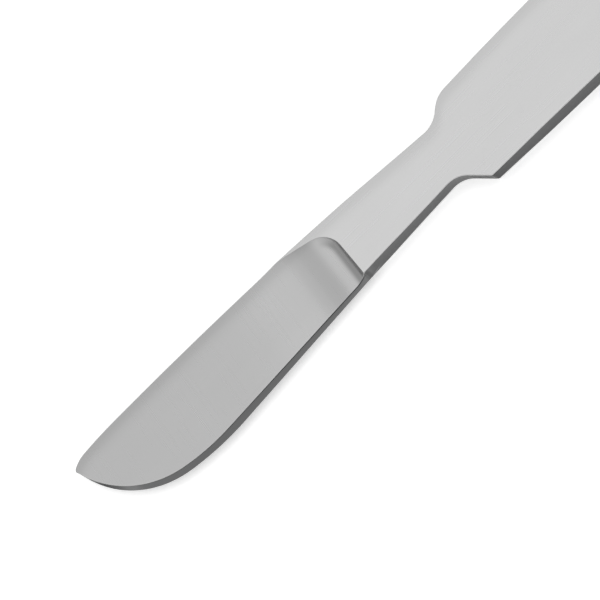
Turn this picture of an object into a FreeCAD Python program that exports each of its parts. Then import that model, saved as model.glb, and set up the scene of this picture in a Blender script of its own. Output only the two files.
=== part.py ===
import FreeCAD, Part
import math
import os

import Sketcher
from FreeCAD import Vector

# A dissecting scalpel, forged and ground from one bar of stainless steel. It lies flat: X runs from
# the point of the blade (-X) to the butt of the handle (+X), +Y is the back of the blade, -Y its
# cutting edge and Z the thickness. Both sides are ground alike, so the half above the mid-plane is
# modelled and mirrored.

doc = FreeCAD.newDocument("dissecting_scalpel")


# Driving sizes, in millimetres and degrees. Distances along the scalpel run from its point.

values = {
    "overall_length": 160.0,
    "blade_length": 40.0,

    # The back of the blade and neck: one long arc, and a short one that drops to the point.
    "point_rise": 5.05,
    "back_crest": 3.55,
    "back_rise": 5.78,
    "back_radius": 620.0,

    # The sharpened edge in the mid-plane: straight, belly arc, sweep arc, straight to the heel.
    "edge_point_angle": 68.4,
    "edge_belly_radius": 13.15,
    "edge_sweep_radius": 38.0,
    "edge_sweep_start": 19.2,
    "edge_rise_angle": 4.4,
    "edge_setback": 0.0,
    "edge_drop": 3.88,
    "heel_length": 1.0,

    # The line where the bevel of the edge begins, which is also the side of the blade above it.
    "bevel_point_angle": 65.7,
    "bevel_belly_radius": 13.25,
    "bevel_sweep_radius": 30.8,
    "bevel_sweep_start": 17.45,
    "bevel_rise_angle": 3.26,
    "bevel_setback": 1.6,
    "bevel_drop": 3.68,
    "bevel_height": 0.21,

    # The neck, and the shoulders where it widens to the handle.
    "neck_length": 14.5,
    "neck_start_drop": 3.38,
    "neck_end_drop": 2.67,
    "back_neck_lag": 1.45,
    "shoulder_angle": 45.0,
    "shoulder_half_width": 5.78,
    "edge_shoulder_radius": 3.2,
    "back_shoulder_radius": 3.0,
    "edge_corner_radius": 0.4,

    # The handle, widest at its crest, and its round butt.
    "crest_to_butt": 56.0,
    "handle_swell": 0.51,
    "butt_radius": 4.9,

    # Thicknesses, and the shallow dish that thins the neck between blade and handle.
    "handle_thickness": 2.3,
    "neck_relief": 0.045,
    "waist_gap": 2.0,
    "waist_length": 24.0,
    "waist_lip_radius": 60.0,
    "waist_radius": 270.0,
    "rim_radius": 0.12,

    # The hollow that the grinding wheel leaves in each side of the blade: its floor, the wall that
    # ends it at the plunge, and the corner where that wall turns to run out through the back.
    "point_thickness": 0.5,
    "heel_thickness": 1.0,
    "grind_angle": 3.0,
    "plunge_setback": 0.21,
    "plunge_corner_radius": 3.52,
    "plunge_corner_rise": 1.01,
    "back_wall_angle": 13.0,
    "plunge_radius": 1.2,
    "wheel_reach": 16.0,
    "wheel_rise": 3.0,
    "point_margin": 2.0,
}

sizes = doc.addObject("Spreadsheet::Sheet", "Sizes")
for row, (alias, value) in enumerate(values.items(), 1):
    sizes.set(f"A{row}", alias.replace("_", " "))
    sizes.set(f"B{row}", str(value))
    sizes.setAlias(f"B{row}", alias)
doc.recompute()


def along(distance):
    """Turn a distance from the point into an X place, with the origin at mid-length."""
    return distance - values["overall_length"] / 2


def at(expression):
    """Write the same place as an expression of the sheet."""
    return f"{expression} - Sizes.overall_length / 2"


# Sketch helpers.

def sketch_on(body, role, name):
    """Start a sketch on one of the body's own origin planes."""
    sketch = body.newObject("Sketcher::SketchObject", name)
    plane = next(feature for feature in body.Origin.OriginFeatures if feature.Role == role)
    sketch.AttachmentSupport = [(plane, "")]
    sketch.MapMode = "FlatFace"
    return sketch


def bind(sketch, name, constraint, expression):
    """Add a named constraint whose value is an expression of the sheet."""
    index = sketch.addConstraint(constraint)
    sketch.renameConstraint(index, name)
    sketch.setExpression(f"Constraints.{name}", expression)


def pin(sketch, name, item, end, x_expression=None, y_expression=None):
    """Place an end of a sketch item from the sketch's origin."""
    point = sketch.getPoint(item, end)
    if x_expression:
        constraint = Sketcher.Constraint("DistanceX", -1, 1, item, end, point.x)
        bind(sketch, f"{name}_x", constraint, x_expression)
    if y_expression:
        constraint = Sketcher.Constraint("DistanceY", -1, 1, item, end, point.y)
        bind(sketch, f"{name}_y", constraint, y_expression)


def join(sketch, *items):
    """Join each item's end to the start of the next."""
    for item, following in zip(items, items[1:]):
        sketch.addConstraint(Sketcher.Constraint("Coincident", item, 2, following, 1))


def slope(sketch, name, line, degrees, expression):
    """Give a line its angle from the sketch's X axis."""
    bind(sketch, name, Sketcher.Constraint("Angle", line, math.radians(degrees)), expression)


def arc(centre, start, end, turning_left=True):
    """An arc about a centre from start to end, held the way round that a sketch keeps it."""
    radius = (start - centre).Length
    first, last = (start, end) if turning_left else (end, start)
    angles = [math.atan2(p.y - centre.y, p.x - centre.x) for p in (first, last)]
    if angles[1] < angles[0]:
        angles[1] += 2 * math.pi
    return Part.ArcOfCircle(Part.Circle(centre, Vector(0, 0, 1), radius), *angles)


def edge_curve(sketch, name):
    """Draw the edge or the bevel line from the point to the heel; both follow the same rule."""
    drop, sweep_start = values[f"{name}_drop"], values[f"{name}_sweep_start"]
    belly, sweep = values[f"{name}_belly_radius"], values[f"{name}_sweep_radius"]
    rise = math.radians(values[f"{name}_rise_angle"])
    steep = math.radians(values[f"{name}_point_angle"])
    point = Vector(along(0), values["point_rise"])
    end = values["blade_length"] - values[f"{name}_setback"]
    heel = Vector(along(end), -drop)
    straight = end - sweep_start
    run_out = heel - Vector(straight, straight * math.tan(rise))
    sweep_centre = run_out + Vector(-math.sin(rise), math.cos(rise)) * sweep
    downward = Vector(math.cos(steep), -math.sin(steep))
    inward = Vector(math.sin(steep), math.cos(steep))
    # The belly's centre lies beside the first straight, inside the sweep's circle.
    offset = point + inward * belly - sweep_centre
    middle = offset.dot(downward)
    reach = math.sqrt(middle ** 2 - offset.dot(offset) + (sweep - belly) ** 2)
    belly_centre = sweep_centre + offset + downward * (reach - middle)
    first_end = belly_centre - inward * belly
    outward = (belly_centre - sweep_centre).normalize()
    belly_end = belly_centre + outward * belly

    line = sketch.addGeometry(Part.LineSegment(point, first_end))
    belly_arc = sketch.addGeometry(arc(belly_centre, first_end, belly_end))
    sweep_arc = sketch.addGeometry(arc(sweep_centre, belly_end, run_out))
    edge = sketch.addGeometry(Part.LineSegment(run_out, heel))
    for item, following in ((line, belly_arc), (belly_arc, sweep_arc), (sweep_arc, edge)):
        sketch.addConstraint(Sketcher.Constraint("Tangent", item, 2, following, 1))
    pin(sketch, "point", line, 1, at("0"), "Sizes.point_rise")
    pin(sketch, "heel", edge, 2, at(f"Sizes.blade_length - Sizes.{name}_setback"),
        f"-Sizes.{name}_drop")
    pin(sketch, "sweep_start", sweep_arc, 2, at(f"Sizes.{name}_sweep_start"))
    slope(sketch, "point_angle", line, -math.degrees(steep), f"-Sizes.{name}_point_angle")
    slope(sketch, "rise_angle", edge, math.degrees(rise), f"Sizes.{name}_rise_angle")
    for item, part, radius in ((belly_arc, "belly", belly), (sweep_arc, "sweep", sweep)):
        constraint = Sketcher.Constraint("Radius", item, radius)
        bind(sketch, f"{part}_radius", constraint, f"Sizes.{name}_{part}_radius")
    return line, edge


def polygon(sketch, corners):
    """Draw straight lines from corner to corner and give back their numbers."""
    lines = [sketch.addGeometry(Part.LineSegment(a, b)) for a, b in zip(corners, corners[1:])]
    join(sketch, *lines)
    return lines


# Places closer together than this, in millimetres, count as the same one.
same_place = 0.01


def edge_names(shape, test):
    """Name the edges of a shape that pass a test of their two ends."""
    names = []
    for number, edge in enumerate(shape.Edges, 1):
        ends = [vertex.Point for vertex in edge.Vertexes]
        if len(ends) == 2 and test(*ends):
            names.append(f"Edge{number}")
    return names


def round_corners(body, name, test, radius):
    """Round the upright edges of the body's tip that pass a test of their plan place."""
    base = body.Tip
    names = edge_names(base.Shape, lambda a, b: math.dist(a[:2], b[:2]) < same_place and test(a))
    fillet = body.newObject("PartDesign::Fillet", name)
    fillet.Base = (base, names)
    fillet.setExpression("Radius", radius)
    doc.recompute()
    return fillet


# The bar: the plan outline of the whole scalpel inside its bevel, half its thickness high.

neck_end_x = along(values["blade_length"] + values["neck_length"])
waist_end_x = along(values["blade_length"] + values["waist_gap"] + values["waist_length"])


def outline(body):
    """The plan outline: bevel line, neck, shoulder, handle, butt and back to the point."""
    sketch = sketch_on(body, "XY_Plane", "outline")
    first, side = edge_curve(sketch, "bevel")

    crest_x = along(values["overall_length"] - values["crest_to_butt"])
    half_width, butt = values["shoulder_half_width"], values["butt_radius"]
    crest_y = half_width + values["handle_swell"]
    fall = math.tan(math.radians(values["shoulder_angle"]))
    neck_end = Vector(neck_end_x, -values["neck_end_drop"])
    edge_corner = neck_end + Vector((half_width - values["neck_end_drop"]) / fall, 0)
    edge_corner.y = -half_width
    heel = sketch.getPoint(side, 2)
    neck_start = Vector(along(values["blade_length"] + values["plunge_setback"]),
                        -values["neck_start_drop"])
    corners = [heel, neck_start, neck_end, edge_corner]
    step, neck, edge_shoulder = polygon(sketch, corners)
    join(sketch, side, step)

    def side_centre(near, far_y):
        """Centre, on the crest's line, of the arc from a corner to the crest."""
        rise = abs(far_y) - abs(near.y)
        radius = ((crest_x - near.x) ** 2 + rise ** 2) / (2 * rise)
        return Vector(crest_x, far_y - math.copysign(radius, far_y))

    butt_centre = Vector(along(values["overall_length"]) - butt, 0)
    length = butt_centre.x - crest_x
    taper = (length ** 2 + crest_y ** 2 - butt ** 2) / (2 * (crest_y - butt))
    edge_crest, back_crest = Vector(crest_x, -crest_y), Vector(crest_x, crest_y)
    edge_centre, back_centre = Vector(crest_x, taper - crest_y), Vector(crest_x, crest_y - taper)
    edge_tangent = butt_centre + (butt_centre - edge_centre).normalize() * butt
    back_tangent = butt_centre + (butt_centre - back_centre).normalize() * butt

    # The back of the neck and blade is an arc about a centre far below the crest of the blade.
    radius = values["back_radius"]
    blade_crest = Vector(along(values["back_crest"]), values["back_rise"])
    blade_centre = blade_crest - Vector(0, radius)
    back_neck = Vector(neck_end_x + values["back_neck_lag"], 0)
    back_neck.y = blade_centre.y + math.sqrt(radius ** 2 - (back_neck.x - blade_centre.x) ** 2)
    back_corner = back_neck + Vector((half_width - back_neck.y) / fall, 0)
    back_corner.y = half_width
    point = Vector(along(0), values["point_rise"])
    drop = blade_crest.y - point.y
    point_radius = ((blade_crest.x - point.x) ** 2 + drop ** 2) / (2 * drop)

    edge_side = sketch.addGeometry(arc(side_centre(edge_corner, -crest_y), edge_corner, edge_crest))
    edge_taper = sketch.addGeometry(arc(edge_centre, edge_crest, edge_tangent))
    end = sketch.addGeometry(arc(butt_centre, edge_tangent, back_tangent))
    back_taper = sketch.addGeometry(arc(back_centre, back_tangent, back_crest))
    back_side = sketch.addGeometry(arc(side_centre(back_corner, crest_y), back_crest, back_corner))
    back_shoulder = sketch.addGeometry(Part.LineSegment(back_corner, back_neck))
    back = sketch.addGeometry(arc(blade_centre, back_neck, blade_crest))
    nose = sketch.addGeometry(arc(blade_crest - Vector(0, point_radius), blade_crest, point))

    join(sketch, edge_shoulder, edge_side)
    for item, following in ((edge_side, edge_taper), (edge_taper, end), (end, back_taper),
                            (back_taper, back_side), (back, nose)):
        sketch.addConstraint(Sketcher.Constraint("Tangent", item, 2, following, 1))
    join(sketch, back_side, back_shoulder, back)
    join(sketch, nose, first)

    shoulder_angle = values["shoulder_angle"]
    neck_place = "Sizes.blade_length + Sizes.neck_length"
    crest_place = at("Sizes.overall_length - Sizes.crest_to_butt")
    half_width_at_crest = "Sizes.shoulder_half_width + Sizes.handle_swell"
    pin(sketch, "neck_start", step, 2, at("Sizes.blade_length + Sizes.plunge_setback"),
        "-Sizes.neck_start_drop")
    pin(sketch, "neck_end", neck, 2, at(neck_place), "-Sizes.neck_end_drop")
    slope(sketch, "edge_shoulder", edge_shoulder, -shoulder_angle, "-Sizes.shoulder_angle")
    pin(sketch, "edge_corner", edge_shoulder, 2, None, "-Sizes.shoulder_half_width")
    pin(sketch, "edge_crest", edge_side, 2, crest_place, f"-({half_width_at_crest})")
    pin(sketch, "edge_centre", edge_side, 3, crest_place)
    pin(sketch, "butt", end, 3, at("Sizes.overall_length - Sizes.butt_radius"), "0")
    bind(sketch, "butt_radius", Sketcher.Constraint("Radius", end, butt), "Sizes.butt_radius")
    pin(sketch, "back_crest", back_side, 1, crest_place, half_width_at_crest)
    pin(sketch, "back_centre", back_side, 3, crest_place)
    slope(sketch, "back_shoulder", back_shoulder, shoulder_angle - 180, "Sizes.shoulder_angle - 180")
    pin(sketch, "back_corner", back_shoulder, 1, None, "Sizes.shoulder_half_width")
    pin(sketch, "back_neck", back, 1, at(f"{neck_place} + Sizes.back_neck_lag"))
    pin(sketch, "blade_crest", back, 2, at("Sizes.back_crest"), "Sizes.back_rise")
    pin(sketch, "blade_centre", back, 3, at("Sizes.back_crest"))
    bind(sketch, "back_radius", Sketcher.Constraint("Radius", back, radius), "Sizes.back_radius")
    return sketch


scalpel = doc.addObject("PartDesign::Body", "Scalpel")
scalpel.Label = "scalpel"
scalpel.setExpression("Placement.Base.z", "Sizes.handle_thickness / 2")

bar_outline = outline(scalpel)
doc.recompute()
bar = scalpel.newObject("PartDesign::Pad", "bar")
bar.Profile = bar_outline
bar.setExpression("Length", "Sizes.handle_thickness / 2")
doc.recompute()


# The shoulders, where the neck widens to the handle. The corner on the cutting side stays crisp.

round_corners(scalpel, "edge_corner_round",
              lambda corner: corner.y < 0 and neck_end_x + same_place < corner.x < waist_end_x,
              "Sizes.edge_corner_radius")
round_corners(scalpel, "edge_shoulder_round",
              lambda corner: corner.y < 0 and abs(corner.x - neck_end_x) < same_place,
              "Sizes.edge_shoulder_radius")
round_corners(scalpel, "back_shoulder_round",
              lambda corner: corner.y > 0 and neck_end_x < corner.x < waist_end_x,
              "Sizes.back_shoulder_radius")


# The sharpened edge: a wedge from the bevel line down to the edge in the mid-plane.

def wedge_outline(body, name, height):
    """Close an edge curve through the neck's side and straight back to the point."""
    sketch = sketch_on(body, "XY_Plane", f"{name}_line")
    sketch.setExpression("AttachmentOffset.Base.z", height)
    first, edge = edge_curve(sketch, name)
    heel, point = sketch.getPoint(edge, 2), sketch.getPoint(first, 1)
    neck = Vector(along(values["blade_length"] + values["heel_length"]), -values["neck_end_drop"])
    run_out, closing = polygon(sketch, [heel, neck, point])
    join(sketch, edge, run_out)
    join(sketch, closing, first)
    pin(sketch, "neck", run_out, 2, at("Sizes.blade_length + Sizes.heel_length"),
        "-Sizes.neck_end_drop")
    return sketch


edge_outline = wedge_outline(scalpel, "edge", "0")
bevel_outline = wedge_outline(scalpel, "bevel", "Sizes.bevel_height")
doc.recompute()
edge_wedge = scalpel.newObject("PartDesign::AdditiveLoft", "edge_wedge")
edge_wedge.Profile = edge_outline
edge_wedge.Sections = [bevel_outline]
edge_wedge.Ruled = True
doc.recompute()


# The faces of blade and neck: level over the blade, then dished to thin the neck.

def side_profile(body):
    """Outline, in side view, of what is taken off the face of the bar."""
    sketch = sketch_on(body, "XZ_Plane", "side_profile")
    lip, radius = values["waist_lip_radius"], values["waist_radius"]
    high = values["handle_thickness"] / 2
    low = high - values["neck_relief"]
    start = Vector(along(values["blade_length"] + values["waist_gap"]), low)
    end = Vector(waist_end_x, high)
    outside = along(-values["point_margin"])
    above = values["wheel_rise"]
    # Two lips, level where they start, lead into the dish between them.
    first_centre, last_centre = start - Vector(0, lip), end - Vector(0, lip)
    between = last_centre - first_centre
    upward = Vector(-between.y, between.x).normalize()
    middle = first_centre + between / 2
    centre = middle + upward * math.sqrt((radius + lip) ** 2 - between.Length ** 2 / 4)
    dish_start = first_centre + (centre - first_centre).normalize() * lip
    dish_end = last_centre + (centre - last_centre).normalize() * lip

    level, = polygon(sketch, [Vector(outside, low), start])
    first_lip = sketch.addGeometry(arc(first_centre, start, dish_start, turning_left=False))
    dish = sketch.addGeometry(arc(centre, dish_start, dish_end))
    last_lip = sketch.addGeometry(arc(last_centre, dish_end, end, turning_left=False))
    corners = [end, Vector(end.x, above), Vector(outside, above), Vector(outside, low)]
    rise, top, back = polygon(sketch, corners)
    # An arc that turns right is held the other way round, so its ends change places.
    for item, item_end, following, following_end in ((level, 2, first_lip, 2), (first_lip, 1, dish, 1),
                                                     (dish, 2, last_lip, 2)):
        ends = (item, item_end, following, following_end)
        sketch.addConstraint(Sketcher.Constraint("Tangent", *ends))
    sketch.addConstraint(Sketcher.Constraint("Coincident", last_lip, 1, rise, 1))
    sketch.addConstraint(Sketcher.Constraint("Vertical", last_lip, 3, last_lip, 1))
    join(sketch, back, level)
    start_place = "Sizes.blade_length + Sizes.waist_gap"
    half_neck = "Sizes.handle_thickness / 2 - Sizes.neck_relief"
    pin(sketch, "outside", level, 1, at("-Sizes.point_margin"))
    pin(sketch, "start", level, 2, at(start_place), half_neck)
    pin(sketch, "end", rise, 1, at(f"{start_place} + Sizes.waist_length"), "Sizes.handle_thickness / 2")
    for name, item, size in (("first_lip", first_lip, lip), ("last_lip", last_lip, lip)):
        bind(sketch, name, Sketcher.Constraint("Radius", item, size), "Sizes.waist_lip_radius")
    bind(sketch, "dish_radius", Sketcher.Constraint("Radius", dish, radius), "Sizes.waist_radius")
    pin(sketch, "above", top, 2, None, "Sizes.wheel_rise")
    for kind, line in (("Horizontal", level), ("Vertical", rise),
                       ("Vertical", back), ("Horizontal", top)):
        sketch.addConstraint(Sketcher.Constraint(kind, line))
    return sketch


thinning = scalpel.newObject("PartDesign::Pocket", "thinning")
thinning.Profile = side_profile(scalpel)
thinning.Type = "ThroughAll"
thinning.Midplane = True
doc.recompute()


# The rim all round is broken before the blade is ground, so the grind's own edges stay crisp.

def rim_names(shape, lowest):
    """Name the edges where the upper faces meet the upright sides."""
    upper = [edge for face in shape.Faces if face.BoundBox.ZMin > lowest for edge in face.Edges]
    rims = [edge for edge in upper if sum(edge.isSame(other) for other in upper) == 1]
    return [f"Edge{number}" for number, edge in enumerate(shape.Edges, 1)
            if any(edge.isSame(rim) for rim in rims)]


broken_rim = scalpel.newObject("PartDesign::Fillet", "broken_rim")
broken_rim.Base = (thinning, rim_names(thinning.Shape, values["bevel_height"]))
broken_rim.setExpression("Radius", "Sizes.rim_radius")
doc.recompute()


# The grind: what the wheel takes off one side of the blade. Seen from above it ends in a straight
# wall at the plunge, whose rounded corner turns it to run out through the back. Its floor is level
# at the point and tilted at the plunge, so the blade thins towards both its edge and its point.

def grind_outline(body):
    """The plan of the grind, open past the point and the cutting edge."""
    sketch = sketch_on(body, "XY_Plane", "grind_outline")
    end_wall = along(values["blade_length"] + values["plunge_setback"])
    outside = along(-values["point_margin"])
    radius, reach = values["plunge_corner_radius"], values["wheel_reach"]
    slant = math.radians(values["back_wall_angle"])
    centre = Vector(end_wall - radius, values["plunge_corner_rise"])
    turn = Vector(end_wall, centre.y)
    run_out = centre + Vector(math.sin(slant), math.cos(slant)) * radius
    far = Vector(outside, run_out.y + (run_out.x - outside) * math.tan(slant))
    front, end = polygon(sketch, [Vector(outside, -reach), Vector(end_wall, -reach), turn])
    corner = sketch.addGeometry(arc(centre, turn, run_out))
    back, closing = polygon(sketch, [run_out, far, Vector(outside, -reach)])
    for item, following in ((end, corner), (corner, back)):
        sketch.addConstraint(Sketcher.Constraint("Tangent", item, 2, following, 1))
    join(sketch, closing, front)
    pin(sketch, "start", front, 1, at("-Sizes.point_margin"), "-Sizes.wheel_reach")
    pin(sketch, "turn", end, 2, at("Sizes.blade_length + Sizes.plunge_setback"),
        "Sizes.plunge_corner_rise")
    bind(sketch, "corner_radius", Sketcher.Constraint("Radius", corner, radius),
         "Sizes.plunge_corner_radius")
    slope(sketch, "back_wall", back, 180 - math.degrees(slant), "180 - Sizes.back_wall_angle")
    for kind, line in (("Horizontal", front), ("Vertical", end), ("Vertical", closing)):
        sketch.addConstraint(Sketcher.Constraint(kind, line))
    return sketch


def floor_section(body, name, place, height, degrees, tilt):
    """A four-sided section whose upper side is the floor of the grind."""
    sketch = sketch_on(body, "YZ_Plane", name)
    sketch.setExpression("AttachmentOffset.Base.z", at(place))
    reach, below = values["wheel_reach"] + values["point_margin"], -values["point_margin"]
    gauge_place = Vector(-values["bevel_drop"], values[height] / 2)
    climb = math.tan(math.radians(degrees))
    low = Vector(-reach, gauge_place.y + (-reach - gauge_place.x) * climb)
    high = Vector(reach, gauge_place.y + (reach - gauge_place.x) * climb)
    corners = [low, high, Vector(reach, below), Vector(-reach, below), low]
    floor, back, under, front = polygon(sketch, corners)
    join(sketch, front, floor)
    gauge = sketch.addGeometry(Part.Point(gauge_place), True)
    sketch.addConstraint(Sketcher.Constraint("PointOnObject", gauge, 1, floor))
    pin(sketch, "gauge", gauge, 1, "-Sizes.bevel_drop", f"Sizes.{height} / 2")
    pin(sketch, "low", floor, 1, "-(Sizes.wheel_reach + Sizes.point_margin)")
    pin(sketch, "high", back, 2, "Sizes.wheel_reach + Sizes.point_margin", "-Sizes.point_margin")
    slope(sketch, "floor_tilt", floor, degrees, tilt)
    for kind, line in (("Vertical", back), ("Vertical", front), ("Horizontal", under)):
        sketch.addConstraint(Sketcher.Constraint(kind, line))
    return sketch


wheel = doc.addObject("PartDesign::Body", "Wheel")
wheel.Label = "grinding_wheel"
grind_plan = grind_outline(wheel)
doc.recompute()
reach_of_wheel = wheel.newObject("PartDesign::Pad", "reach_of_wheel")
reach_of_wheel.Profile = grind_plan
reach_of_wheel.setExpression("Length", "Sizes.wheel_rise")
past_point = floor_section(wheel, "past_point", "-2 * Sizes.point_margin", "point_thickness", 0.0, "0")
past_plunge = floor_section(wheel, "past_plunge", "Sizes.blade_length + Sizes.plunge_radius",
                            "heel_thickness", values["grind_angle"], "Sizes.grind_angle")
doc.recompute()
floor = wheel.newObject("PartDesign::SubtractiveLoft", "floor")
floor.Profile = past_point
floor.Sections = [past_plunge]
floor.Ruled = True
doc.recompute()


def wall_foot(start, end):
    """Tell the edges between floor and walls from the upright, upper and outer ones."""
    rising = math.dist(start[:2], end[:2]) < same_place
    upper = max(start.z, end.z) > values["wheel_rise"] - same_place
    outer = max(start.x, end.x) < along(0) or max(start.y, end.y) < -values["point_margin"]
    return not (rising or upper or outer)


plunge = wheel.newObject("PartDesign::Fillet", "plunge")
plunge.Base = (floor, edge_names(floor.Shape, wall_foot))
plunge.setExpression("Radius", "Sizes.plunge_radius")
doc.recompute()

ground = scalpel.newObject("PartDesign::Boolean", "ground")
ground.Type = "Cut"
ground.setObjects([wheel])
doc.recompute()


# Both halves: the whole shape mirrored in the mid-plane.

both_sides = scalpel.newObject("PartDesign::Mirrored", "both_sides")
both_sides.TransformMode = "Whole shape"
mid_plane = next(plane for plane in scalpel.Origin.OriginFeatures if plane.Role == "XY_Plane")
both_sides.MirrorPlane = (mid_plane, [""])
scalpel.Tip = both_sides
doc.recompute()


# Every feature must have built, and the part must be one closed solid, before it is written.

for feature in doc.Objects:
    if {"Invalid", "Error"} & set(feature.State):
        raise RuntimeError(f"{feature.Name} did not build: {feature.State}")
if scalpel.Shape.isNull() or not scalpel.Shape.isValid() or len(scalpel.Shape.Solids) != 1:
    raise RuntimeError("the scalpel is not one valid solid")

os.makedirs("parts", exist_ok=True)
scalpel.Shape.exportStep(f"parts/{scalpel.Label}.step")
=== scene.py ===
import math

import bmesh
import bpy
import numpy as np
from mathutils import Matrix, Vector


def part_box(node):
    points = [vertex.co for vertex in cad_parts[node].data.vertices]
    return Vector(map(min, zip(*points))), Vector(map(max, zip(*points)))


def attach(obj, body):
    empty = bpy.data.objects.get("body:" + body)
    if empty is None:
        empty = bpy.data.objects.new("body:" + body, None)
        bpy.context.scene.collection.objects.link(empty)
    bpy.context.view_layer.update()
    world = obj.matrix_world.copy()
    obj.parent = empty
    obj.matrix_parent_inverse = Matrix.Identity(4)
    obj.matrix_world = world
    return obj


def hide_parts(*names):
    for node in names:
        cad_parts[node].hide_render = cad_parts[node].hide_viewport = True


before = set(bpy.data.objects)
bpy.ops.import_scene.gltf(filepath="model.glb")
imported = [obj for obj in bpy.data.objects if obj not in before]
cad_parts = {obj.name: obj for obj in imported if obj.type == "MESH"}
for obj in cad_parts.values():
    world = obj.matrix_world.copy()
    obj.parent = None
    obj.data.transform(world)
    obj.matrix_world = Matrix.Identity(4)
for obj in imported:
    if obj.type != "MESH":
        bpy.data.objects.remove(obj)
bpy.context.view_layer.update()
scene = bpy.context.scene
scene.view_settings.view_transform = "Standard"
MM = 0.001


# The camera looks steeply down on the blade and neck from the cutting side and a little from the
# butt. It is turned about its own axis, so the scalpel climbs the picture from left to right.

camera_height = 58.10
camera_azimuth = 27.93
camera_turn = -68.90
camera_distance = 480 * MM
camera_near_limit = 10 * MM
camera_lens = 267.5
camera_sensor = 36
looked_at = Vector((-47.75, 0.30, 1.10)) * MM

turned = (Matrix.Rotation(math.radians(camera_azimuth), 4, "Z")
          @ Matrix.Rotation(math.radians(90 - camera_height), 4, "X")
          @ Matrix.Rotation(math.radians(camera_turn), 4, "Z"))
camera = bpy.data.objects.new("camera", bpy.data.cameras.new("camera"))
camera.data.lens = camera_lens
camera.data.sensor_width = camera_sensor
camera.data.clip_start = camera_near_limit
camera.matrix_world = Matrix.Translation(looked_at + turned.col[2].xyz * camera_distance) @ turned
scene.collection.objects.link(camera)
scene.camera = camera


# One wide soft light hangs over the table. The room round it is dim, so what faces up is bright
# and what faces the side of the room, such as the wall of the plunge, is dark.

light_level = 1.10
room_level = 0.10
light_edge_low = math.sin(math.radians(4))
light_edge_high = math.sin(math.radians(36))

studio = bpy.data.worlds.new("studio")
studio.use_nodes = True
scene.world = studio
nodes, links = studio.node_tree.nodes, studio.node_tree.links
direction = nodes.new("ShaderNodeTexCoord")
rise = nodes.new("ShaderNodeSeparateXYZ")
links.new(direction.outputs["Generated"], rise.inputs["Vector"])
shade = nodes.new("ShaderNodeMapRange")
shade.interpolation_type = "SMOOTHSTEP"
shade.inputs["From Min"].default_value = light_edge_low
shade.inputs["From Max"].default_value = light_edge_high
shade.inputs["To Min"].default_value = room_level
shade.inputs["To Max"].default_value = light_level
links.new(rise.outputs["Z"], shade.inputs["Value"])
links.new(shade.outputs["Result"], nodes["Background"].inputs["Color"])


# The table is a plain white sheet. Seen straight or in the steel it is a little brighter than its
# paint, which makes the background white and leaves the scalpel's own soft shadow.

table_reach = 2.0
table_white = 0.90
table_lift = 0.34

sheet = bmesh.new()
bmesh.ops.create_grid(sheet, x_segments=1, y_segments=1, size=table_reach)
table = bpy.data.objects.new("table", bpy.data.meshes.new("table"))
sheet.to_mesh(table.data)
sheet.free()
scene.collection.objects.link(table)

table_paint = bpy.data.materials.new("table_paint")
table_paint.use_nodes = True
nodes, links = table_paint.node_tree.nodes, table_paint.node_tree.links
nodes.remove(nodes["Principled BSDF"])
paint = nodes.new("ShaderNodeBsdfDiffuse")
paint.inputs["Color"].default_value = (table_white, table_white, table_white, 1)
ray = nodes.new("ShaderNodeLightPath")
seen = ray.outputs["Is Camera Ray"]
for kind in ("Is Glossy Ray", "Is Transmission Ray"):
    also_seen = nodes.new("ShaderNodeMath")
    also_seen.operation = "ADD"
    also_seen.use_clamp = True
    links.new(seen, also_seen.inputs[0])
    links.new(ray.outputs[kind], also_seen.inputs[1])
    seen = also_seen.outputs["Value"]
lift = nodes.new("ShaderNodeMath")
lift.operation = "MULTIPLY"
lift.inputs[1].default_value = table_lift
links.new(seen, lift.inputs[0])
glow = nodes.new("ShaderNodeEmission")
links.new(lift.outputs["Value"], glow.inputs["Strength"])
both = nodes.new("ShaderNodeAddShader")
links.new(paint.outputs["BSDF"], both.inputs[0])
links.new(glow.outputs["Emission"], both.inputs[1])
links.new(both.outputs["Shader"], nodes["Material Output"].inputs["Surface"])
table.data.materials.append(table_paint)


# The scalpel: one piece of stainless steel, forged to its outline, its blade hollowed on a wheel
# from both sides and its edge set last. Its net is laid out flat here, in millimetres: lengths run
# from the point, widths from the axis. A Geometry Nodes tree then raises, grinds and mirrors it.

low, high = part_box("scalpel")
overall_length = (high[0] - low[0]) / MM
half_width = (high[1] - low[1]) / 2 / MM
handle_thickness = (high[2] - low[2]) / MM


# The back's outline: arcs that widen from the point's small round to the long run to the shoulder.

point_turn = math.radians(170)
tip_radius, tip_end_x = 0.6, 0.3
nose_radius, nose_end_x = 4.0, 2.0
brow_radius = 61.0
back_crest = (7.0, 5.63)
back_radius = 570.0
back_neck_end = 55.95
shoulder_half_width = 5.78
shoulder_angle = math.radians(45)
shoulder_round = 3.0
handle_crest = 104.0
butt_radius = 4.9

# Distances between the points of tight rounds, of longer runs and of the handle's side, and which
# points of a run give its direction at a corner.
tight_step, run_step, handle_step = 0.02, 0.04, 0.2
before_corner, after_corner = -20, 3


def arc_points(centre, radius, start, end, step=run_step):
    """Points along an arc between two angles, ends included."""
    count = max(2, int(abs(end - start) * radius / step))
    angles = np.linspace(start, end, count)
    return np.column_stack((centre[0] + radius * np.cos(angles), centre[1] + radius * np.sin(angles)))


def line_points(start, end, step=run_step):
    """Points along a straight line, ends included."""
    count = max(2, int(math.dist(start, end) / step))
    return np.linspace(start, end, count)


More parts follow.
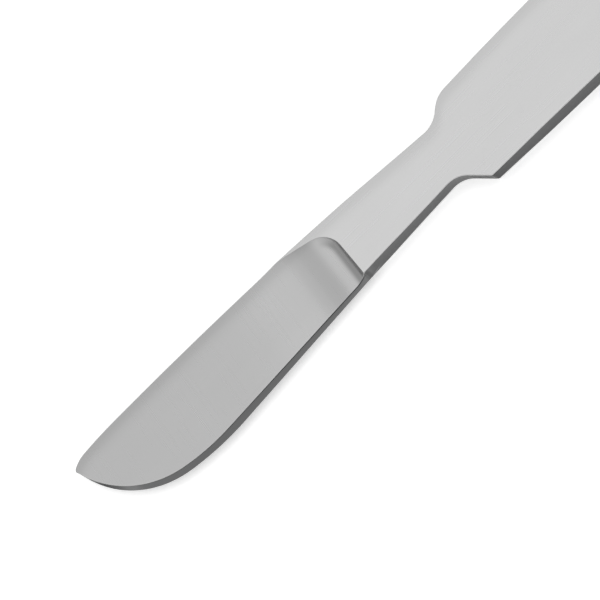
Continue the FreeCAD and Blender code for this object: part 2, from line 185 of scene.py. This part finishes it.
def corner_points(before, corner, after, radius):
    """The arc that rounds a corner between two straight runs."""
    before, corner, after = (np.array(p, dtype=float) for p in (before, corner, after))
    back = (before - corner) / np.linalg.norm(before - corner)
    onward = (after - corner) / np.linalg.norm(after - corner)
    half = math.acos(np.clip(back @ onward, -1, 1)) / 2
    reach = radius / math.tan(half)
    start, end = corner + back * reach, corner + onward * reach
    centre = corner + (back + onward) / np.linalg.norm(back + onward) * radius / math.sin(half)
    first = math.atan2(*(start - centre)[::-1])
    turn = (math.atan2(*(end - centre)[::-1]) - first + math.pi) % (2 * math.pi) - math.pi
    return arc_points(centre, radius, first, first + turn, tight_step)


def handle_side(from_x, from_y):
    """The handle's side for y above the axis: shoulder to crest, then taper and round butt."""
    rise = half_width - from_y
    radius = ((handle_crest - from_x) ** 2 + rise ** 2) / (2 * rise)
    centre = (handle_crest, half_width - radius)
    start = math.atan2(from_y - centre[1], from_x - centre[0])
    side = arc_points(centre, radius, start, math.pi / 2, handle_step)
    length = overall_length - butt_radius - handle_crest
    taper = (length ** 2 + half_width ** 2 - butt_radius ** 2) / (2 * (half_width - butt_radius))
    taper_centre = (handle_crest, half_width - taper)
    turn = math.atan2(-taper_centre[1], length)
    narrowing = arc_points(taper_centre, taper, math.pi / 2, turn, handle_step)
    butt = arc_points((overall_length - butt_radius, 0), butt_radius, turn, 0)
    return np.vstack((side, narrowing[1:], butt[1:]))


def back_outline():
    """The back from the point to the end of the butt."""
    centre = np.array((back_crest[0], back_crest[1] - brow_radius))
    over, radius, end = [], brow_radius, math.pi / 2
    for next_radius, meeting_x in ((nose_radius, nose_end_x), (tip_radius, tip_end_x)):
        start = math.acos((meeting_x - centre[0]) / radius)
        over.insert(0, arc_points(centre, radius, start, end, tight_step)[:-1])
        centre = centre + np.array((math.cos(start), math.sin(start))) * (radius - next_radius)
        radius, end = next_radius, start
    over.insert(0, arc_points(centre, radius, point_turn, end, tight_step)[:-1])
    over = np.vstack(over)
    centre_y = back_crest[1] - back_radius
    run = back_neck_end - back_crest[0]
    neck_end = (back_neck_end, centre_y + math.sqrt(back_radius ** 2 - run ** 2))
    corner = (neck_end[0] + (shoulder_half_width - neck_end[1]) / math.tan(shoulder_angle),
              shoulder_half_width)
    falling = math.atan2(neck_end[1] - centre_y, run)
    long_back = arc_points((back_crest[0], centre_y), back_radius, math.pi / 2, falling)
    handle = handle_side(*corner)
    first_round = corner_points(long_back[before_corner], neck_end, corner, shoulder_round)
    second_round = corner_points(neck_end, corner, handle[after_corner], shoulder_round)
    long_back = long_back[long_back[:, 0] < first_round[0, 0]]
    handle = handle[handle[:, 0] > second_round[-1, 0]]
    return np.vstack((over, long_back, first_round, second_round, handle))


# The cutting side: the sharpened edge, the line where its bevel begins, and the side of the neck and
# handle that carries that line on.

point = tuple(back_outline()[0])
edge_rule = dict(angle=67.9, belly=13.43, sweep=36.3, sweep_start=19.28, rise=4.44, end=40.25,
                 drop=3.917)
bevel_rule = dict(angle=64.65, belly=13.86, sweep=28.8, sweep_start=17.45, rise=3.31, end=38.4,
                  drop=3.697)
heel_x, heel_end_x = 40.2, 42.6
edge_neck_start = (40.21, -3.38)
edge_neck_end = (54.5, -2.67)
edge_shoulder_radius = 3.2
edge_corner_radius = 0.4


def blade_line(angle, belly, sweep, sweep_start, rise, end, drop):
    """A curve down from the point: straight, belly arc, sweep arc, straight to the heel."""
    steep, climb = math.radians(angle), math.radians(rise)
    heel = np.array((end, -drop))
    straight = end - sweep_start
    run_out = heel - (straight, straight * math.tan(climb))
    sweep_centre = run_out + np.array((-math.sin(climb), math.cos(climb))) * sweep
    downward = np.array((math.cos(steep), -math.sin(steep)))
    inward = np.array((math.sin(steep), math.cos(steep)))
    offset = np.array(point) + inward * belly - sweep_centre
    middle = offset @ downward
    reach = math.sqrt(middle ** 2 - offset @ offset + (sweep - belly) ** 2)
    belly_centre = sweep_centre + offset + downward * (reach - middle)
    outward = (belly_centre - sweep_centre) / (sweep - belly)
    first_end = belly_centre - inward * belly
    turn = math.atan2(outward[1], outward[0])
    start = math.atan2(-inward[1], -inward[0])
    return np.vstack((line_points(point, first_end, tight_step),
                      arc_points(belly_centre, belly, start, turn, tight_step)[1:],
                      arc_points(sweep_centre, sweep, turn, climb - math.pi / 2)[1:],
                      line_points(run_out, heel)[1:]))


def side_outline():
    """The bevel line, the neck's side, the shoulder and the handle's side."""
    bevel_line = blade_line(**bevel_rule)
    corner = (edge_neck_end[0] + shoulder_half_width + edge_neck_end[1], -shoulder_half_width)
    handle = handle_side(corner[0], -corner[1]) * (1, -1)
    first_round = corner_points(edge_neck_start, edge_neck_end, corner, edge_shoulder_radius)
    second_round = corner_points(edge_neck_end, corner, handle[after_corner], edge_corner_radius)
    step = line_points(bevel_line[-1], edge_neck_start)
    neck = line_points(edge_neck_start, first_round[0])
    handle = handle[handle[:, 0] > second_round[-1, 0]]
    return np.vstack((bevel_line, step[1:], neck[1:], first_round, second_round, handle))


# The net's columns run from the cutting side to the back. Near the plunge they follow its wall, so
# that the crease at its top runs along them, and further off they straighten little by little. Each
# station step is a stretch of the length, with the distance between its columns.

end_wall = edge_neck_start[0]
corner_centre = (36.69, 1.01)
corner_radius = end_wall - corner_centre[0]
back_wall_angle = math.radians(13)
wall_foot_y, wall_reach = -7.0, 40.0
follow_inside, follow_outside = 1.4, -4.0
straight_inside, straight_outside = 28.0, -11.0
station_steps = ((0, 3, 0.08), (3, 14, 0.2), (14, 36, 0.4), (36, 38.8, 0.2), (38.8, 39.6, 0.06),
                 (39.6, 40.2, 0.02), (40.2, 40.6, 0.05), (40.6, 44, 0.2), (44, 53, 0.3),
                 (53, 60, 0.12), (60, 66, 0.4), (66, 154, 2.2), (154, 160, 0.12))
rim_radius = 0.12
insets = np.array((0, 0.004, 0.015, 0.03, 0.06, 0.09, rim_radius))
face_rows = np.linspace(0, 1, 49)
walk_digits = 6
rim_width_share = 0.3
side_lap = 0.02
bevel_height = 0.21
heel_climb_start, heel_climb_share = 38.6, 0.9


def wall_line(inside):
    """The line that keeps one distance inside the plunge's wall, from the edge out past the back."""
    radius = corner_radius - inside
    normal = math.pi / 2 - back_wall_angle
    corner = arc_points(corner_centre, radius, 0, normal, tight_step)
    outward = np.array((-math.cos(back_wall_angle), math.sin(back_wall_angle)))
    run_out = corner[-1] + outward * wall_reach
    return np.vstack((line_points((end_wall - inside, wall_foot_y), corner[0]), corner[1:],
                      line_points(corner[-1], run_out)[1:]))


def inward_normals(points, turning):
    """Unit vectors across a run of points, to the left or right of its way."""
    tangents = np.gradient(points, axis=0)
    tangents /= np.linalg.norm(tangents, axis=1)[:, None]
    return np.column_stack((-tangents[:, 1], tangents[:, 0])) * turning


def spread(points, shares):
    """Points at shares of the length of a line."""
    walked = np.concatenate(((0,), np.cumsum(np.linalg.norm(np.diff(points, axis=0), axis=1))))
    return np.column_stack([np.interp(shares, walked / walked[-1], points[:, axis]) for axis in (0, 1)])


side, back, edge = side_outline(), back_outline(), blade_line(**edge_rule)
side_inward, back_inward = inward_normals(side, 1), inward_normals(back, -1)
side_inward[-1] = back_inward[-1] = (-1, 0)
back_inset = back + back_inward * rim_radius


def wall_column(inside):
    """A column along the wall: its far end's place along the back, and how far it leaves the chord."""
    line = wall_line(inside)
    line = line[line[:, 1] > np.interp(line[0, 0], side[:, 0], side[:, 1]) + rim_radius]
    past = np.argmax(line[:, 1] > np.interp(line[:, 0], back_inset[:, 0], back_inset[:, 1]))
    line = spread(line[:past + 1], face_rows)
    chord = line[0] + (line[-1] - line[0]) * face_rows[:, None]
    return line[-1, 0], line - chord


walked = np.concatenate(((0,), np.cumsum(np.linalg.norm(np.diff(side, axis=0), axis=1))))
stations = [np.linspace(*np.interp((start, end), side[:, 0], walked), round((end - start) / step) + 1)
            for start, end, step in station_steps]
tip_walk = np.interp(station_steps[0][1], side[:, 0], walked)
stations[0] = np.linspace(0, tip_walk, round(tip_walk / station_steps[0][2]))
butt_walk = np.interp(station_steps[-1][0], side[:, 0], walked)
stations[-1] = np.linspace(butt_walk, walked[-1], round((walked[-1] - butt_walk) / station_steps[-1][2]))
stations = np.unique(np.round(np.concatenate(stations), walk_digits))


def at_walk(run, where):
    """Places or directions of a run, after lengths walked along the cutting side."""
    return np.column_stack([np.interp(where, walked, run[:, axis]) for axis in (0, 1)])


near, near_inward = at_walk(side, stations), at_walk(side_inward, stations)
far_x, bends = near[:, 0].copy(), np.zeros((len(near), len(face_rows), 2))
for number, x in enumerate(near[:, 0]):
    inside = end_wall - x
    if not straight_outside < inside < straight_inside:
        continue
    follow = min(max(inside, follow_outside), follow_inside)
    limit = straight_inside if inside > follow else straight_outside
    weight = (limit - inside) / (limit - follow) if inside != follow else 1.0
    end_x, bend = wall_column(follow)
    far_x[number] += weight * (end_x - (end_wall - follow))
    bends[number] = bend * weight

far = np.column_stack((far_x, np.interp(far_x, back[:, 0], back[:, 1])))
far_inward = np.column_stack([np.interp(far_x, back[:, 0], back_inward[:, axis]) for axis in (0, 1)])
far[-1], far_inward[-1] = near[-1], near_inward[-1]
far[0] = near[0]

# The edge itself. At the heel its bevel climbs the neck's side, and the edge dies into that side.

sharp = near.copy()
for number in np.flatnonzero(near[:, 0] < heel_climb_start):
    sharp[number] = edge[np.argmin(((edge - near[number]) ** 2).sum(axis=1))]
sharp[0] = near[0]
heel = (near[:, 0] >= heel_climb_start) & (near[:, 0] < heel_end_x)
heel_line = np.array((edge[-1], (heel_end_x, np.interp(heel_end_x, side[:, 0], side[:, 1]))))
edge_and_heel = np.vstack((edge, heel_line[1:]))
sharp[heel, 1] = np.interp(near[heel, 0], edge_and_heel[:, 0], edge_and_heel[:, 1])
heel_share = np.clip((near[:, 0] - heel_climb_start) / (heel_x - heel_climb_start), 0, 1)
heel_climb = heel_climb_share * heel_share ** 2

# Each row: its places in the plan, its distance in from the outline, the share of the face's height
# that it takes, the height that is added, and 1 where it belongs to a side. Both sides have the same
# heights, so they meet without a gap at the point and at the butt.

width = np.linalg.norm(far - near, axis=1)
fit = np.minimum(1, rim_width_share * width / rim_radius)
none = np.zeros(len(near))
bevel_top = bevel_height * (1 - heel_climb)
rows = [(sharp, none, 0, 0, 1), (near, none, heel_climb, bevel_top, 1), (near, none, 1, -side_lap, 1)]
rows += [(near + near_inward * (inset * fit)[:, None], inset * fit, 1, 0, 0) for inset in insets]
inner, outer = rows[-1][0], far + far_inward * (rim_radius * fit)[:, None]
for number, share in list(enumerate(face_rows))[1:-1]:
    places = inner + (outer - inner) * share + bends[:, number]
    rows.append((places, rim_radius * fit + min(share, 1 - share) * width, 1, 0, 0))
rows += [(far + far_inward * (inset * fit)[:, None], inset * fit, 1, 0, 0) for inset in insets[::-1]]
rows += [(far, none, 1, -side_lap, 1), (far, none, heel_climb, bevel_top, 1), (far, none, 0, 0, 1)]

net = bpy.data.meshes.new("scalpel_net")
vertex = np.arange(len(rows) * len(near)).reshape(len(rows), len(near))
quads = np.stack((vertex[:-1, :-1], vertex[:-1, 1:], vertex[1:, 1:], vertex[1:, :-1]), axis=-1)
places = np.vstack([np.column_stack((row[0], none)) for row in rows])
net.from_pydata(places.tolist(), [], quads.reshape(-1, 4).tolist())
from_back = np.interp(places[:, 0], back[:, 0], back[:, 1]) - places[:, 1]
for column, name in enumerate(("inset", "height_share", "added_height", "side"), 1):
    values = np.concatenate([row[column] + none for row in rows])
    net.attributes.new(name, "FLOAT", "POINT").data.foreach_set("value", values)
net.attributes.new("from_back", "FLOAT", "POINT").data.foreach_set("value", from_back)


# The steel: satin faces. Its colour carries painted light and shade. The hollow is darker than the bar,
# most of all in a streak of painted shade before the plunge, and it has painted shade along the back. The
# upright sides and the bevel are painted dark, as painted shade, and are coarser.

face_steel = (0.57, 0.57, 0.57)
# The sides' and the bevel's colours are dark as painted shade.
side_steel_painted_dark = (0.114, 0.115, 0.116)
bevel_steel_painted_dark = (0.146, 0.147, 0.148)

# Painted light and shade, as shares of the colour, by distances in mm: in the hollow (painted shade, with a
# faint painted light streak nearer the wall) and on the bevel (painted light) from the hollow's end, in the
# plunge (a painted highlight at the top of its wall, painted shade below it) from its wall, along the back
# (painted shade) from the outline, and on the sides (painted light near the heel and before the shoulder,
# painted shade in the shoulder) from the point.
painted_hollow_light_and_shade = ((0.0, 0.80), (1.6, 0.82), (2.1, 0.815), (2.6, 0.778), (2.9, 0.73), (3.2, 0.688),
                (3.6, 0.658), (4.1, 0.658), (4.7, 0.671), (5.3, 0.712), (5.9, 0.737), (6.5, 0.788),
                (7.1, 0.816), (8.5, 0.83), (11.5, 0.826), (14.0, 0.80), (26.0, 0.777), (38.0, 0.765))
painted_bevel_light = ((0.0, 1.5), (0.25, 1.5), (0.6, 1.32), (1.1, 1.16), (1.6, 1.1), (3.0, 1.08), (6.0, 1.0),
               (33.8, 1.0), (35.2, 1.15), (36.2, 1.38), (37.5, 1.55), (40.2, 1.55))
painted_wall_light_and_shade = ((0.0, 1.3), (0.3, 1.2), (0.45, 1.05), (0.6, 0.8), (0.8, 0.58), (1.1, 0.52), (1.4, 0.74),
              (1.7, 0.96), (2.0, 1.0))
painted_back_shade = ((0.0, 0.83), (0.5, 0.86), (0.9, 0.89), (1.3, 0.945), (1.7, 0.975), (2.4, 1.0))
painted_handle_back_shade = ((0.0, 0.89), (0.9, 0.92), (1.5, 0.975), (2.2, 1.0))
painted_side_light_and_shade = ((0.0, 1.12), (39.9, 1.4), (40.35, 1.5), (40.8, 1.12), (42.5, 1.1), (52.0, 1.15),
              (54.0, 1.35), (54.7, 1.25), (55.3, 0.75), (55.9, 0.36), (56.8, 0.34), (57.6, 0.6),
              (59.0, 0.8), (62.0, 0.94), (66.0, 1.0), (160.0, 1.0))

# The finish: the faces are rubbed along the scalpel and the hollow is ground across the blade. A few
# hairline scratches and a faint cloudiness come from use, and the broken rims are worn brighter.
rubbing_scale = (60, 3400, 3400)
grinding_scale, grinding_turn = (3800, 70, 70), math.radians(-6)
cloud_scale = (90, 260, 260)
long_hairs = dict(scale=(35, 520, 520), turn=math.radians(5), level=0.5, width=0.004)
cross_hairs = dict(scale=(300, 60, 60), turn=math.radians(24), level=0.52, width=0.003)
grain_detail, hair_detail = 2.0, 1.0
noise_range = (0.3, 0.7)
grain_tones, cloud_tones, coarse_tones = (0.991, 1.009), (0.988, 1.012), (0.95, 1.05)
face_roughness, side_roughness = (0.26, 0.34), (0.34, 0.46)
hair_tone, worn_tone = 0.98, 1.05
worn_insets = (0.05, 0.22)
scratch_strength, scratch_depth = 0.08, 0.012

steel = bpy.data.materials.new("satin_steel")
steel.use_nodes = True
steel_tree = steel.node_tree
nodes, links = steel_tree.nodes, steel_tree.links
skin = nodes["Principled BSDF"]
skin.inputs["Metallic"].default_value = 1.0
place = nodes.new("ShaderNodeTexCoord").outputs["Object"]


def join(tree, value, socket):
    """Link an output to an input, or set the value on it."""
    if isinstance(value, bpy.types.NodeSocket):
        tree.links.new(value, socket)
    else:
        socket.default_value = value


def calc(tree, operation, *values):
    """One step of arithmetic in a tree."""
    node = tree.nodes.new("ShaderNodeMath")
    node.operation = operation
    for socket, value in zip(node.inputs, values):
        join(tree, value, socket)
    return node.outputs["Value"]


def times(first, second):
    """Two tones together."""
    return calc(steel_tree, "MULTIPLY", first, second)


def blend(factor, first, second, kind="FLOAT"):
    """Mix two numbers or colours."""
    node = nodes.new("ShaderNodeMix")
    node.data_type = kind
    sockets = [socket for socket in node.inputs if socket.enabled]
    for socket, value in zip(sockets, (factor, first, second)):
        join(steel_tree, value, socket)
    return next(socket for socket in node.outputs if socket.enabled)


def ramp(value, start, end, first, last):
    """Carry a value over from one range to another, level past its ends."""
    node = nodes.new("ShaderNodeMapRange")
    for name, number in zip(("From Min", "From Max", "To Min", "To Max"), (start, end, first, last)):
        node.inputs[name].default_value = number
    links.new(value, node.inputs["Value"])
    return node.outputs["Result"]


def stored(name):
    """A value that the net carries over the surface."""
    node = nodes.new("ShaderNodeAttribute")
    node.attribute_name = name
    return node.outputs["Fac"]


def tone_curve(distance, tones):
    """A share of light that changes smoothly with a distance."""
    reach = tones[-1][0]
    node = nodes.new("ShaderNodeFloatCurve")
    curve = node.mapping.curves[0]
    for position, tone in tones[1:-1]:
        curve.points.new(position / reach, tone)
    curve.points[0].location = (0, tones[0][1])
    curve.points[-1].location = (1, tones[-1][1])
    node.mapping.update()
    links.new(ramp(distance, 0, reach, 0, 1), node.inputs["Value"])
    return node.outputs["Value"]


def streaks(scale, turn=0.0, detail=grain_detail):
    """Fine marks that run across the directions in which the scale is large."""
    stretch = nodes.new("ShaderNodeMapping")
    stretch.inputs["Rotation"].default_value = (0, 0, turn)
    stretch.inputs["Scale"].default_value = scale
    links.new(place, stretch.inputs["Vector"])
    node = nodes.new("ShaderNodeTexNoise")
    node.inputs["Scale"].default_value = 1.0
    node.inputs["Detail"].default_value = detail
    links.new(stretch.outputs["Vector"], node.inputs["Vector"])
    return node.outputs["Fac"]


def hairlines(scale, turn, level, width):
    """Thin scratches, where a stretched noise passes through a level."""
    above = calc(steel_tree, "SUBTRACT", streaks(scale, turn, hair_detail), level)
    return ramp(calc(steel_tree, "ABSOLUTE", above), 0, width, 1, 0)


def coloured(colour, tone):
    """A colour dimmed by a tone that varies over the surface."""
    node = nodes.new("ShaderNodeVectorMath")
    node.operation = "SCALE"
    node.inputs[0].default_value = colour
    links.new(tone, node.inputs["Scale"])
    return node.outputs["Vector"]


in_hollow, on_side = stored("hollow"), stored("side")
from_back, from_end = stored("from_back"), stored("from_end")
# The tone curves give painted light and shade: painted shade in the hollow and along the back, a painted
# highlight and painted shade on the plunge's wall.
wall_tone = blend(stored("wall_facing"), 1.0, tone_curve(stored("from_wall"), painted_wall_light_and_shade))
hollow_painted_light_and_shade_tone = times(times(tone_curve(from_end, painted_hollow_light_and_shade), wall_tone), tone_curve(from_back, painted_back_shade))
face_painted_light_and_shade = blend(in_hollow, tone_curve(from_back, painted_handle_back_shade), hollow_painted_light_and_shade_tone)

rubbed, ground_across = streaks(rubbing_scale), streaks(grinding_scale, grinding_turn)
grain = blend(on_side, blend(in_hollow, rubbed, ground_across), rubbed)
cloud = streaks(cloud_scale)
hairs = calc(steel_tree, "MAXIMUM", hairlines(**long_hairs), hairlines(**cross_hairs))
worn = ramp(stored("inset"), *worn_insets, worn_tone, 1)
finish_tone = times(times(ramp(grain, *noise_range, *grain_tones), ramp(cloud, *noise_range, *cloud_tones)),
                    times(ramp(hairs, 0, 1, 1, hair_tone), worn))
face_colour = coloured(face_steel, times(face_painted_light_and_shade, finish_tone))

split_place = nodes.new("ShaderNodeSeparateXYZ")
links.new(place, split_place.inputs["Vector"])
from_point = calc(steel_tree, "MULTIPLY_ADD", split_place.outputs["X"], 1 / MM, overall_length / 2)
coarse_tone = ramp(grain, *noise_range, *coarse_tones)
# Painted shade and light: the sides' and the bevel's colours are dark as painted shade, with painted light
# near the heel and painted shade deeper in the shoulder; the bevel also has painted light near the point.
upright_colour = coloured(side_steel_painted_dark, times(tone_curve(from_point, painted_side_light_and_shade), coarse_tone))
bevel_colour = coloured(bevel_steel_painted_dark, times(tone_curve(from_end, painted_bevel_light), coarse_tone))
side_colour = blend(in_hollow, upright_colour, bevel_colour, "RGBA")
links.new(blend(on_side, face_colour, side_colour, "RGBA"), skin.inputs["Base Color"])

face_polish = ramp(grain, *noise_range, *face_roughness)
side_polish = ramp(grain, *noise_range, *side_roughness)
links.new(blend(on_side, face_polish, side_polish), skin.inputs["Roughness"])

scratches = nodes.new("ShaderNodeBump")
scratches.inputs["Strength"].default_value = scratch_strength
scratches.inputs["Distance"].default_value = scratch_depth * MM
links.new(calc(steel_tree, "SUBTRACT", grain, hairs), scratches.inputs["Height"])
links.new(scratches.outputs["Normal"], skin.inputs["Normal"])


# The tree that raises the net: the bar with its dished neck and broken rim, less the hollow that
# the wheel leaves, on both sides of the middle.

neck_relief = 0.045
waist_start, waist_end = 42.0, 66.0
waist_lip_radius, waist_radius = 60.0, 270.0
first_lip = np.array((waist_start, handle_thickness / 2 - neck_relief - waist_lip_radius))
last_lip = np.array((waist_end, handle_thickness / 2 - waist_lip_radius))
between = last_lip - first_lip
upward = np.array((-between[1], between[0])) / np.linalg.norm(between)
reach = math.sqrt((waist_radius + waist_lip_radius) ** 2 - between @ between / 4)
waist_centre = first_lip + between / 2 + upward * reach
lip_share = waist_lip_radius / (waist_radius + waist_lip_radius)
dish_start, dish_end = (lip + (waist_centre - lip) * lip_share for lip in (first_lip, last_lip))

forging = {
    "Half Thickness": handle_thickness / 2,
    "Neck Relief": neck_relief,
    "Waist Start": waist_start,
    "Waist End": waist_end,
    "Waist Lip Radius": waist_lip_radius,
    "Waist Radius": waist_radius,
    "Waist Centre X": waist_centre[0],
    "Waist Centre Z": waist_centre[1],
    "Dish Start": dish_start[0],
    "Dish End": dish_end[0],
    "Rim Radius": rim_radius,
    "Ground Rim Radius": 0.05,
    "Bevel Height": bevel_height,
    "Floor Start": -4.0,
    "Floor Length": 45.2,
    "Point Half Thickness": 0.25,
    "Heel Half Thickness": 0.5,
    "Heel Drop": bevel_rule["drop"],
    "Grind Angle": math.radians(3),
    "Corner Centre X": corner_centre[0],
    "Corner Centre Y": corner_centre[1],
    "Corner Radius": corner_radius,
    "Back Wall Angle": back_wall_angle,
    "Plunge Radius": 1.2,
    "Crease": 0.012,
    "Corner Turn End": math.radians(64),
    "Corner Turn Length": math.radians(44),
}
wall_steepness = 6.0
land_share = 0.5
weld = 0.0005
least_edge = 0.0002
sharp_angle = math.radians(28)

tree = bpy.data.node_groups.new("forged_and_ground", "GeometryNodeTree")
tree.interface.new_socket("Net", in_out="INPUT", socket_type="NodeSocketGeometry")
for name, value in forging.items():
    tree.interface.new_socket(name, in_out="INPUT", socket_type="NodeSocketFloat").default_value = value
tree.interface.new_socket("Scalpel", in_out="OUTPUT", socket_type="NodeSocketGeometry")
given = tree.nodes.new("NodeGroupInput").outputs


def add(a, b):
    return calc(tree, "ADD", a, b)


def less(a, b):
    return calc(tree, "SUBTRACT", a, b)


def mul(a, b):
    return calc(tree, "MULTIPLY", a, b)


def at_least(value, limit):
    return calc(tree, "MAXIMUM", value, limit)


def at_most(value, limit):
    return calc(tree, "MINIMUM", value, limit)


def circle_height(radius, away):
    """Height of a circle above its centre at a distance from its middle."""
    return calc(tree, "SQRT", at_least(less(mul(radius, radius), mul(away, away)), 0.0))


def switch(condition, a, b):
    """Give b where the condition is 1, and a elsewhere."""
    return add(a, mul(condition, less(b, a)))


def net_value(name):
    """A value that the net's rows carry."""
    node = tree.nodes.new("GeometryNodeInputNamedAttribute")
    node.data_type = "FLOAT"
    node.inputs["Name"].default_value = name
    return node.outputs["Attribute"]


position = tree.nodes.new("ShaderNodeSeparateXYZ")
tree.links.new(tree.nodes.new("GeometryNodeInputPosition").outputs["Position"], position.inputs["Vector"])
x, y = position.outputs["X"], position.outputs["Y"]
inset = net_value("inset")


def broken(height, radius):
    """Lower a face towards the outline, along a quarter round."""
    near_rim = at_least(less(radius, inset), 0.0)
    return add(less(height, radius), circle_height(radius, near_rim))


lip, half = given["Waist Lip Radius"], given["Half Thickness"]
neck_lip = add(less(less(half, given["Neck Relief"]), lip),
               circle_height(lip, at_least(less(x, given["Waist Start"]), 0.0)))
handle_lip = add(less(half, lip), circle_height(lip, at_least(less(given["Waist End"], x), 0.0)))
dish = less(given["Waist Centre Z"],
            circle_height(given["Waist Radius"], less(x, given["Waist Centre X"])))
bar = switch(calc(tree, "GREATER_THAN", x, given["Dish Start"]), neck_lip, dish)
bar = switch(calc(tree, "GREATER_THAN", x, given["Dish End"]), bar, handle_lip)

# Distance inside the plunge's wall: the end wall, its rounded corner and the slanting back wall.
across, up = less(x, given["Corner Centre X"]), less(y, given["Corner Centre Y"])
sine = calc(tree, "SINE", given["Back Wall Angle"])
cosine = calc(tree, "COSINE", given["Back Wall Angle"])
to_back_wall = add(mul(across, sine), mul(up, cosine))
along_back_wall = less(mul(up, sine), mul(across, cosine))
in_corner = mul(calc(tree, "GREATER_THAN", up, 0.0), calc(tree, "LESS_THAN", along_back_wall, 0.0))
from_corner = calc(tree, "SQRT", add(mul(across, across), mul(up, up)))
from_corner_centre = switch(in_corner, at_least(across, to_back_wall), from_corner)
from_wall = less(given["Corner Radius"], from_corner_centre)

# The floor of the hollow, and the round in which it climbs the wall. Past the wall the hollow's
# surface goes on rising steeply, clear of the bar.
share = calc(tree, "DIVIDE", less(x, given["Floor Start"]), given["Floor Length"])
tilt = mul(add(y, given["Heel Drop"]), calc(tree, "TANGENT", given["Grind Angle"]))
at_heel = add(given["Heel Half Thickness"], tilt)
floor = switch(share, given["Point Half Thickness"], at_heel)
round_up = given["Plunge Radius"]
into_round = at_most(at_least(less(round_up, from_wall), 0.0), round_up)
climb = less(round_up, circle_height(round_up, into_round))
beyond = mul(at_least(mul(from_wall, -1.0), 0.0), wall_steepness)
hollow = add(add(floor, climb), beyond)

# The rim of the hollow, which takes up to a share of the thin land over the bevel.
land = mul(less(floor, given["Bevel Height"]), land_share)
ground_rim = at_most(given["Ground Rim Radius"], land)
face = calc(tree, "SMOOTH_MIN", broken(bar, given["Rim Radius"]), broken(hollow, ground_rim),
            given["Crease"])
height = add(mul(face, net_value("height_share")), net_value("added_height"))
ground = calc(tree, "LESS_THAN", hollow, bar)

# For the material's painted light and shade on the plunge's wall: 1 where the wall faces the point, less
# and less as its corner turns.
wall_turn = calc(tree, "ARCTAN2", at_least(up, 0.0), across)
wall_facing = calc(tree, "DIVIDE", less(given["Corner Turn End"], wall_turn), given["Corner Turn Length"])
wall_facing = at_most(at_least(wall_facing, 0.0), 1.0)


def chain(kind, geometry, **inputs):
    """A node that takes the geometry on, with its other inputs."""
    node = tree.nodes.new(kind)
    tree.links.new(geometry, node.inputs[0])
    for name, value in inputs.items():
        join(tree, value, node.inputs[name.replace("_", " ")])
    return node


def keep_value(geometry, name, value):
    """Store a value on the shape, for the material to read."""
    node = chain("GeometryNodeStoreNamedAttribute", geometry, Name=name, Value=value)
    return node.outputs["Geometry"]


shape = keep_value(given["Net"], "from_wall", from_wall)
shape = keep_value(shape, "from_end", less(add(given["Corner Centre X"], given["Corner Radius"]), x))
shape = keep_value(shape, "wall_facing", wall_facing)
shape = keep_value(shape, "hollow", ground)
lifted = tree.nodes.new("ShaderNodeCombineXYZ")
tree.links.new(height, lifted.inputs["Z"])
raised = chain("GeometryNodeSetPosition", shape, Offset=lifted.outputs["Vector"]).outputs["Geometry"]
mirrored = chain("GeometryNodeTransform", raised, Scale=(1, 1, -1)).outputs["Geometry"]
mirrored = chain("GeometryNodeFlipFaces", mirrored).outputs["Mesh"]
halves = tree.nodes.new("GeometryNodeJoinGeometry")
for half_shape in (raised, mirrored):
    tree.links.new(half_shape, halves.inputs["Geometry"])
welded = chain("GeometryNodeMergeByDistance", halves.outputs["Geometry"], Distance=weld)
lying = chain("GeometryNodeTransform", welded.outputs["Geometry"], Scale=(MM, MM, MM),
              Translation=(-overall_length / 2 * MM, 0, handle_thickness / 2 * MM))
real = chain("GeometryNodeRealizeInstances", lying.outputs["Geometry"])
finish = chain("GeometryNodeSetMaterial", real.outputs["Geometry"], Material=steel)
result = tree.nodes.new("NodeGroupOutput")
tree.links.new(finish.outputs["Geometry"], result.inputs["Scalpel"])

flat_net = bpy.data.objects.new("scalpel_net", net)
scene.collection.objects.link(flat_net)
grinding = flat_net.modifiers.new("forged_and_ground", "NODES")
grinding.node_group = tree
for item in tree.interface.items_tree:
    if item.in_out == "INPUT" and item.name in forging:
        grinding[item.identifier] = float(forging[item.name])

depsgraph = bpy.context.evaluated_depsgraph_get()
skin_mesh = bpy.data.meshes.new_from_object(flat_net.evaluated_get(depsgraph))
bpy.data.objects.remove(flat_net)
skin_mesh.name = "scalpel_steel"
work = bmesh.new()
work.from_mesh(skin_mesh)
bmesh.ops.dissolve_degenerate(work, edges=work.edges, dist=least_edge * MM)
bmesh.ops.recalc_face_normals(work, faces=work.faces)
work.to_mesh(skin_mesh)
work.free()
skin_mesh.shade_smooth()
skin_mesh.set_sharp_from_angle(angle=sharp_angle)

scalpel = bpy.data.objects.new("scalpel_steel", skin_mesh)
scene.collection.objects.link(scalpel)
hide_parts("scalpel")
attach(scalpel, "root")
